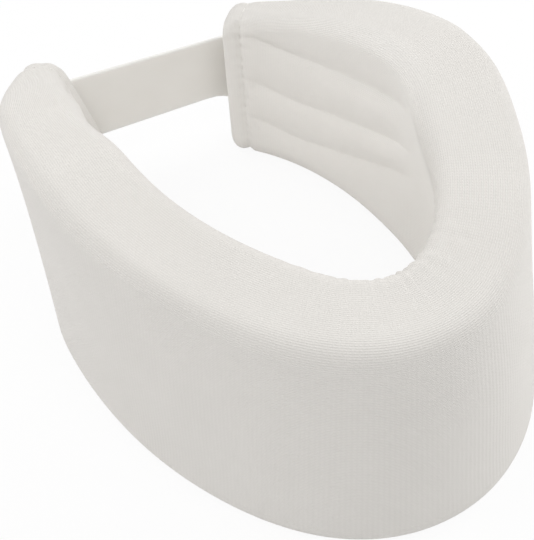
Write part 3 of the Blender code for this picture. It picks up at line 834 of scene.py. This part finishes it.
def foamBlock():
    # The slab's own outline, drawn in to leave room for the sleeve
    count = round(slab["halfLength"] / foam["step"])
    e = np.linspace(foam["endInset"], slab["halfLength"], count)
    out, z = sleeveSection(bothHalves(e), foam["inset"])
    s = fromChin(e)
    keep = np.arange(0, out.shape[1], foam["columnStep"])
    points = clothPlace(s, out, z)[:, keep]
    mapU, mapV = np.meshgrid(s[:, 0], np.linspace(0.0, jersey["girth"], len(keep) + 1), indexing="ij")
    piece = gridMesh("foamBlock", points, mapU, mapV, capEnds=True)
    piece.data.materials.append(foamMaterial)
    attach(piece, "collar")
    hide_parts("foam_core")
    return piece


knitSleeve()
foamBlock()
print("sleeve and foam made")


# Closing tape

tapeGrid = {"along": 300, "tailSteps": 40, "padSteps": 80, "bendSteps": 24, "blendReach": 0.0025,
            "sag": 0.0035, "sagReach": 0.0055}
band = {"across": 17, "edgeRound": 60.0, "stripSteps": 60}     # a higher edgeRound makes squarer edges


def roundCorner(before, corner, after, radius, count):
    # Points of the arc that rounds a corner, tangent to both sides
    toBefore = unit(before - corner)
    toAfter = unit(after - corner)
    halfAngle = math.acos(float(np.clip(toBefore @ toAfter, -1.0, 1.0))) / 2.0
    centre = corner + unit(toBefore + toAfter) * radius / math.sin(halfAngle)
    start = corner + toBefore * radius / math.tan(halfAngle) - centre
    stop = corner + toAfter * radius / math.tan(halfAngle) - centre
    sweep = math.pi - 2.0 * halfAngle
    t = np.linspace(0.0, 1.0, count)[:, None]
    return centre + (start * np.sin((1.0 - t) * sweep) + stop * np.sin(t * sweep)) / math.sin(sweep)


def readAlong(samples, reach, values):
    # Values given at the distances in reach, read between them at the sampled distances
    return np.stack([np.interp(samples, reach, values[:, k]) for k in range(3)], axis=-1)


def evenly(line, count):
    # The same line with points evenly spaced along it
    reach = wayAlong(line)
    return readAlong(np.linspace(0.0, reach[-1], count), reach, line)


def tapeEdge(z):
    # From the end of the tail, round the left end, across the opening, and over the loop pad to the tip
    above = tape["seatGap"] + tape["thick"] / 2.0
    end = slab["halfLength"]
    tailE = np.linspace(tape["hingeFromEnd"] + tape["tail"], tape["hingeFromEnd"], tapeGrid["tailSteps"])
    tail = facePoint(-(end - tailE), z, above)
    leftCorner = facePoint(-end, z, above)
    rightCorner = facePoint(end, z, above)
    padE = np.linspace(pad["fromEnd"], tape["tab"] + tape["tabRound"], tapeGrid["padSteps"])
    overPad = facePoint(end - padE, z, above + stack)
    steps = tapeGrid["bendSteps"]
    firstBend = roundCorner(tail[-1], leftCorner, rightCorner, tape["leftBend"], steps)
    secondBend = roundCorner(leftCorner, rightCorner, overPad[0], tape["rightBend"], steps)
    return evenly(np.concatenate([tail, firstBend, secondBend, overPad]), tapeGrid["along"])


def bandLoop():
    # Outline of a flat band: share of the width and side of the thickness, with the edges rounded
    share = 0.5 - 0.5 * np.cos(np.linspace(0.0, np.pi, band["across"]))
    lift = np.sqrt(np.clip(1.0 - (np.abs(2.0 * share - 1.0)) ** band["edgeRound"], 0.0, 1.0))
    return np.concatenate([share, share[-2:0:-1]]), np.concatenate([lift, -lift[-2:0:-1]])


def bandMesh(name, low, top, thick, tipRound=0.0):
    # Two edge lines, the width between them, and a rounded flat outline of the given thickness
    middle = (low + top) / 2.0
    upright = unit(top - low)
    normal = unit(np.cross(unit(np.gradient(middle, axis=0)), upright))
    reach = wayAlong(middle)
    inward = np.maximum(tipRound - (reach[-1] - reach), 0.0)
    cut = tipRound - np.sqrt(np.maximum(tipRound ** 2 - inward ** 2, 0.0))
    width = np.linalg.norm(top - low, axis=1) - 2.0 * cut
    share, lift = bandLoop()
    offset = cut[:, None] + width[:, None] * share[None, :]
    points = low[:, None] + upright[:, None] * offset[..., None]
    points = points + normal[:, None] * (lift * thick / 2.0)[None, :, None]
    mapU = np.repeat(reach[:, None], len(share) + 1, axis=1)
    mapV = np.concatenate([offset, offset[:, :1]], axis=1)
    return gridMesh(name, points, mapU, mapV, capEnds=True)


def closingTape():
    # A band between its two edges; the lower one sags, in a bell shape, where it turns round the right end
    low = tapeEdge(tape["level"] - tape["width"] / 2.0)
    top = tapeEdge(tape["level"] + tape["width"] / 2.0)
    corner = facePoint(slab["halfLength"], tape["level"] - tape["width"] / 2.0, 0.0)
    low[:, 2] -= tapeGrid["sag"] * np.exp(-np.sum((low - corner) ** 2, axis=1) / tapeGrid["sagReach"] ** 2)
    piece = bandMesh("closingTape", low, top, tape["thick"], tape["tabRound"])
    piece.data.materials.append(tapeMaterial)
    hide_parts("strap_sewn_end", "strap_band")
    towardsEnd = planAt(hingeS)[2]
    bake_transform(piece)
    return piece


closingTape()
print("closing tape made")


# Loop pad and hook patch on the right arm

def armStrip(name, first, length, width, above, thick):
    # Flat band on the outside of the right arm
    e = np.linspace(first, first + length, band["stripSteps"])
    s = slab["halfLength"] - e
    low = facePoint(s, tape["level"] - width / 2.0, above + thick / 2.0)
    top = facePoint(s, tape["level"] + width / 2.0, above + thick / 2.0)
    return bandMesh(name, low, top, thick)


def armAxes(e, z, above):
    # Points on the right arm's outer face with the directions along, out and up there
    s = slab["halfLength"] - e
    point = facePoint(s, z, above)
    _, normal, ahead = planAt(s)
    return point, ahead, normal, np.broadcast_to(np.array([0.0, 0.0, 1.0]), normal.shape)


def stripGrid(first, length, width, look):
    # Evenly spaced places on a strip, inside its margin: from the end of the arm, and height
    e = np.arange(first + look["margin"], first + length - look["margin"], look["pitch"])
    z = np.arange(-width / 2.0 + look["margin"], width / 2.0 - look["margin"], look["pitch"])
    return np.meshgrid(e, tape["level"] + z)


def joinPieces(name, pieces):
    # Several meshes as one object, keeping their cloth maps
    for item in bpy.context.view_layer.objects:
        item.select_set(False)
    for item in pieces:
        item.select_set(True)
    bpy.context.view_layer.objects.active = pieces[0]
    bpy.ops.object.join()
    pieces[0].name = name
    pieces[0].data.name = name
    return pieces[0]


loops = {"base": 0.00055, "pitch": 0.00105, "margin": 0.0012, "radius": 0.00045, "yarn": 0.00011,
         "rings": 7, "sides": 4, "seed": 7, "jitter": 0.3, "rootShare": 0.8}


def loopPad():
    # Each loop is an arch: half an ellipse in a plane turned at random, a small yarn tube carried along it
    base = armStrip("loopPad", pad["fromEnd"], pad["length"], pad["width"], tape["seatGap"], loops["base"])
    random = np.random.default_rng(loops["seed"])
    e, z = stripGrid(pad["fromEnd"], pad["length"], pad["width"], loops)
    e = e.ravel() + random.uniform(-loops["jitter"], loops["jitter"], e.size) * loops["pitch"]
    z = z.ravel() + random.uniform(-loops["jitter"], loops["jitter"], z.size) * loops["pitch"]
    turn = random.uniform(0.0, np.pi, e.size)
    root, ahead, normal, up = armAxes(e, z, tape["seatGap"] + loops["base"] * loops["rootShare"])
    across = ahead * np.cos(turn)[:, None] + up * np.sin(turn)[:, None]
    aside = np.cross(normal, across)
    angle = np.linspace(0.0, np.pi, loops["rings"])
    arch = -across[:, None] * np.cos(angle)[None, :, None] + normal[:, None] * np.sin(angle)[None, :, None]
    tall = (pad["thick"] - loops["base"] * loops["rootShare"] - loops["yarn"]) / loops["radius"]
    stretch = normal[:, None] * (np.sin(angle) * (tall - 1.0))[None, :, None]
    spine = root[:, None] + loops["radius"] * (arch + stretch)
    tube = tubesAlong(spine, arch, aside[:, None], loops["yarn"], loops["sides"])
    piece = joinPieces("loopPad", [base, manyMesh("loopPile", tube)])
    piece.data.materials.append(loopMaterial)
    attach(piece, "collar")
    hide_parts("loop_pad")
    return piece


hookRows = {"base": 0.00045, "pitch": 0.0014, "margin": 0.0011, "stem": 0.00045, "curl": 0.00016,
            "wire": 0.00009, "rings": 8, "sides": 5, "rootShare": 0.8}


def hookPatch():
    # Each hook is a stem that ends in a half circle; neighbouring rows curl opposite ways
    faceAbove = 2.0 * tape["seatGap"] + pad["thick"] + hooks["thick"]
    base = armStrip("hookPatch", hooksFromEnd, hooks["length"], hooks["width"], faceAbove - hookRows["base"],
                    hookRows["base"])
    e, z = stripGrid(hooksFromEnd, hooks["length"], hooks["width"], hookRows)
    way = np.where(np.arange(len(z)) % 2 == 0, 1.0, -1.0)[:, None] * np.ones_like(e)
    rootAbove = faceAbove - hookRows["base"] * hookRows["rootShare"]
    root, ahead, normal, up = armAxes(e.ravel(), z.ravel(), rootAbove)
    ahead = ahead * way.ravel()[:, None]
    stemRings = hookRows["rings"] // 2
    curlRings = hookRows["rings"] - stemRings
    angle = np.concatenate([np.zeros(stemRings), np.linspace(0.0, np.pi, curlRings + 1)[1:]])
    height = np.concatenate([np.linspace(0.0, 1.0, stemRings), np.ones(curlRings)])
    fall = height * hookRows["stem"] + hookRows["curl"] * np.sin(angle)
    over = hookRows["curl"] * (1.0 - np.cos(angle))
    spine = root[:, None] - normal[:, None] * fall[None, :, None] + ahead[:, None] * over[None, :, None]
    heading = unit(np.gradient(spine, axis=1))
    aside = np.broadcast_to(up[:, None], heading.shape)
    tube = tubesAlong(spine, aside, np.cross(heading, aside), hookRows["wire"], hookRows["sides"])
    piece = joinPieces("hookPatch", [base, manyMesh("hookWires", tube)])
    piece.data.materials.append(hookMaterial)
    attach(piece, "strap")
    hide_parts("hook_patch")
    return piece


loopPad()
hookPatch()
print("loop pad and hook patch made")


# Stitches

stitch = {"length": 0.0027, "gap": 0.0006, "thread": 0.00028, "rings": 9, "sides": 8,
          "margin": 0.0015, "tailMargin": 0.004, "corner": 0.0012, "endThread": 0.00012,
          "lie": 0.4, "endLie": -0.4,               # height of the thread's line, in thread radii
          "arch": 0.8, "dip": 1.2, "thin": 0.7,     # rise at the middle, drop and thinning at the ends
          "fewest": 4, "cornerSteps": 240, "sideSteps": 12, "endSteps": 400}


def stitchRow(name, path, normals, node, body, thread, lie):
    # Stitches along a closed path: each is a short thread whose height is a parabola that dips at both ends
    loop = np.concatenate([path, path[:1]])
    faces = np.concatenate([normals, normals[:1]])
    reach = wayAlong(loop)
    count = max(stitch["fewest"], round(reach[-1] / (stitch["length"] + stitch["gap"])))
    t = np.linspace(-1.0, 1.0, stitch["rings"])
    samples = (np.arange(count) + 0.5)[:, None] * reach[-1] / count + t[None, :] * stitch["length"] / 2.0
    samples = samples % reach[-1]
    up = unit(readAlong(samples, reach, faces))
    lift = thread * (lie + stitch["arch"] * (1.0 - t ** 2) - stitch["dip"] * t ** 6)
    spine = readAlong(samples, reach, loop) + up * lift[None, :, None]
    heading = unit(np.gradient(spine, axis=1))
    aside = unit(np.cross(heading, up))
    thick = thread * (1.0 - stitch["thin"] * t ** 8)
    tube = tubesAlong(spine, aside, np.cross(aside, heading), thick[:, None, None], stitch["sides"])
    piece = manyMesh(name, tube)
    piece.data.materials.append(threadMaterial)
    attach(piece, body)
    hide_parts(node)
    return piece


def boxPath(side, first, last, halfWidth, above):
    # Rectangle with rounded corners on the outer face of an arm
    middle = (first + last) / 2.0
    halfLength = (last - first) / 2.0 - stitch["corner"]
    halfHeight = halfWidth - stitch["corner"]
    steps = stitch["cornerSteps"]
    turn = np.linspace(0.0, 2.0 * np.pi, steps, endpoint=False) + np.pi / steps
    wave = np.stack([np.cos(turn), np.sin(turn)], axis=-1)
    outline = stitch["corner"] * wave + np.sign(wave) * np.array([halfLength, halfHeight])
    outline = np.c_[outline, 0.0 * turn]
    sides = [evenly(outline[[k - 1, k]], stitch["sideSteps"])[:-1] for k in range(steps)]
    outline = np.concatenate(sides)
    s = side * (slab["halfLength"] - middle - outline[:, 0])
    return facePoint(s, tape["level"] + outline[:, 1], above), planAt(s)[1]


def sewnBoxes():
    # A box of stitches inside the margin of each sewn strip, on the outermost face there
    rows = (
        ("strapSeam", "strap_seam", "collar", -1.0, tape["hingeFromEnd"], tape["tail"], tape["width"],
         stitch["tailMargin"], tape["seatGap"] + tape["thick"]),
        ("loopPadSeam", "loop_pad_seam", "collar", 1.0, pad["fromEnd"], pad["length"], pad["width"],
         stitch["margin"], tape["seatGap"] + pad["thick"]),
        ("hookPatchSeam", "hook_patch_seam", "strap", 1.0, hooksFromEnd, hooks["length"], hooks["width"],
         stitch["margin"], tape["seatGap"] + stack + tape["thick"]),
    )
    for name, node, body, side, first, length, width, margin, above in rows:
        path, normals = boxPath(side, first + margin, first + length - margin, width / 2.0 - margin, above)
        stitchRow(name, path, normals, node, body, stitch["thread"], stitch["lie"])


def endSeams():
    # Thread in the groove that draws each end of the sleeve together
    out, z = sleeveSection(np.array([sleeve["seamFromEnd"]]), 0.0)
    for side, name, node in ((-1.0, "leftEndSeam", "left_end_seam"), (1.0, "rightEndSeam", "right_end_seam")):
        s = side * (slab["halfLength"] - sleeve["seamFromEnd"])
        path = evenly(clothPlace(s, out[0], z[0]), stitch["endSteps"])
        steps = np.roll(path, -1, axis=0) - np.roll(path, 1, axis=0)
        outward = unit(np.cross(steps, planAt(s)[2]))
        if np.sum(outward * (path - path.mean(axis=0))) < 0.0:
            outward = -outward
        stitchRow(name, path, outward, node, "collar", stitch["endThread"], stitch["endLie"])


sewnBoxes()
endSeams()
print("stitches made")


# Floor, light and camera

studio = {
    "floorSize": 8.0,
    "floor": {"light": (0.93, 0.93, 0.93), "roughness": 0.9},
    "whiteShare": 0.9,              # share of plain white in the floor as the camera sees it
    "glowShare": 0.15,              # and in the light that it gives the collar
    "worldStrength": 0.46,
    "boxSize": 0.9,
    "boxAim": (0.0, 0.0, 0.045),
}
softboxes = {
    "left": {"at": (-0.95, 0.40, 0.75), "watts": 4.4},
    "right": {"at": (1.1, 0.0, 0.6), "watts": 6.2},
    "front": {"at": (0.0, -0.65, 1.1), "watts": 3.7},
    "back": {"at": (0.0, 0.85, 0.95), "watts": 2.9},
}


def seenDirectly(tree):
    # 1 for rays from the camera, mirrors and glass
    path = tree.nodes.new("ShaderNodeLightPath")
    seen = calc(tree, "MAXIMUM", path.outputs["Is Camera Ray"], path.outputs["Is Glossy Ray"])
    return calc(tree, "MAXIMUM", seen, path.outputs["Is Transmission Ray"])


def paleFloor():
    # One square; the mix shows it near white to the camera and still takes the shadow
    half = studio["floorSize"] / 2.0
    corners = [(-half, -half, 0.0), (half, -half, 0.0), (half, half, 0.0), (-half, half, 0.0)]
    mesh = bpy.data.meshes.new("floor")
    mesh.from_pydata(corners, [], [(0, 1, 2, 3)])
    floor = bpy.data.objects.new("floor", mesh)
    bpy.context.scene.collection.objects.link(floor)
    material, tree, shader = newMaterial("paleFloor", studio["floor"])
    glow = tree.nodes.new("ShaderNodeEmission")
    mix = tree.nodes.new("ShaderNodeMixShader")
    white = calc(tree, "MULTIPLY", seenDirectly(tree), studio["whiteShare"])
    tree.links.new(calc(tree, "MAXIMUM", white, studio["glowShare"]), mix.inputs["Fac"])
    tree.links.new(shader.outputs["BSDF"], mix.inputs[1])
    tree.links.new(glow.outputs["Emission"], mix.inputs[2])
    tree.links.new(mix.outputs["Shader"], tree.nodes["Material Output"].inputs["Surface"])
    mesh.materials.append(material)


def whiteWorld():
    # White where it is seen, dimmer as a light
    world = bpy.data.worlds.new("studioWorld")
    bpy.context.scene.world = world
    world.use_nodes = True
    tree = world.node_tree
    background = tree.nodes["Background"]
    background.inputs["Color"].default_value = (1.0, 1.0, 1.0, 1.0)
    dim = studio["worldStrength"]
    strength = calc(tree, "MULTIPLY_ADD", seenDirectly(tree), 1.0 - dim, dim)
    tree.links.new(strength, background.inputs["Strength"])


def turned(back, roll):
    # Axes of a lamp or camera that looks along -back, rolled about that line
    forward = -unit(back)
    right = unit(np.cross(forward, [0.0, 0.0, 1.0]))
    up = np.cross(right, forward)
    level = right * math.cos(roll) + up * math.sin(roll)
    upright = up * math.cos(roll) - right * math.sin(roll)
    return level, upright, -forward


def placed(item, at, axes):
    columns = np.c_[np.stack([*axes, at]), [0.0, 0.0, 0.0, 1.0]]
    item.matrix_world = Matrix(columns.T.tolist())


def hangLights():
    for name, box in softboxes.items():
        light = bpy.data.lights.new(name + "Softbox", "AREA")
        light.size = studio["boxSize"]
        light.energy = box["watts"]
        lamp = bpy.data.objects.new(name + "Softbox", light)
        bpy.context.scene.collection.objects.link(lamp)
        placed(lamp, box["at"], turned(np.array(box["at"]) - np.array(studio["boxAim"]), 0.0))


shot = {
    "azimuth": -25.11,
    "elevation": 47.17,
    "roll": -3.03,
    "distance": 0.3468,
    "aim": (0.0, 0.0, 0.0292),
    "focalPixels": 1137.1,
    "framePixels": (534.0, 540.0),  # width and height that the pixels here belong to
    "axisPixel": (287.7, 241.3),    # where the lens axis meets the photograph
    "sensor": 36.0,
    "clip": (0.01, 50.0),
}


def lookFrom():
    # Camera on a sphere round the aim; the shift puts the lens axis on its pixel
    azimuth = math.radians(shot["azimuth"])
    elevation = math.radians(shot["elevation"])
    back = np.array([math.sin(azimuth) * math.cos(elevation), -math.cos(azimuth) * math.cos(elevation),
                     math.sin(elevation)])
    lens = bpy.data.cameras.new("studioCamera")
    longSide = max(shot["framePixels"])
    lens.sensor_fit = "AUTO"
    lens.sensor_width = shot["sensor"]
    lens.lens = shot["focalPixels"] / longSide * shot["sensor"]
    lens.shift_x = (shot["framePixels"][0] / 2.0 - shot["axisPixel"][0]) / longSide
    lens.shift_y = (shot["axisPixel"][1] - shot["framePixels"][1] / 2.0) / longSide
    lens.clip_start, lens.clip_end = shot["clip"]
    camera = bpy.data.objects.new("studioCamera", lens)
    bpy.context.scene.collection.objects.link(camera)
    placed(camera, np.array(shot["aim"]) + back * shot["distance"], turned(back, math.radians(shot["roll"])))
    bpy.context.scene.camera = camera


paleFloor()
whiteWorld()
hangLights()
lookFrom()
bpy.context.scene.view_settings.view_transform = "Standard"
print("studio made")
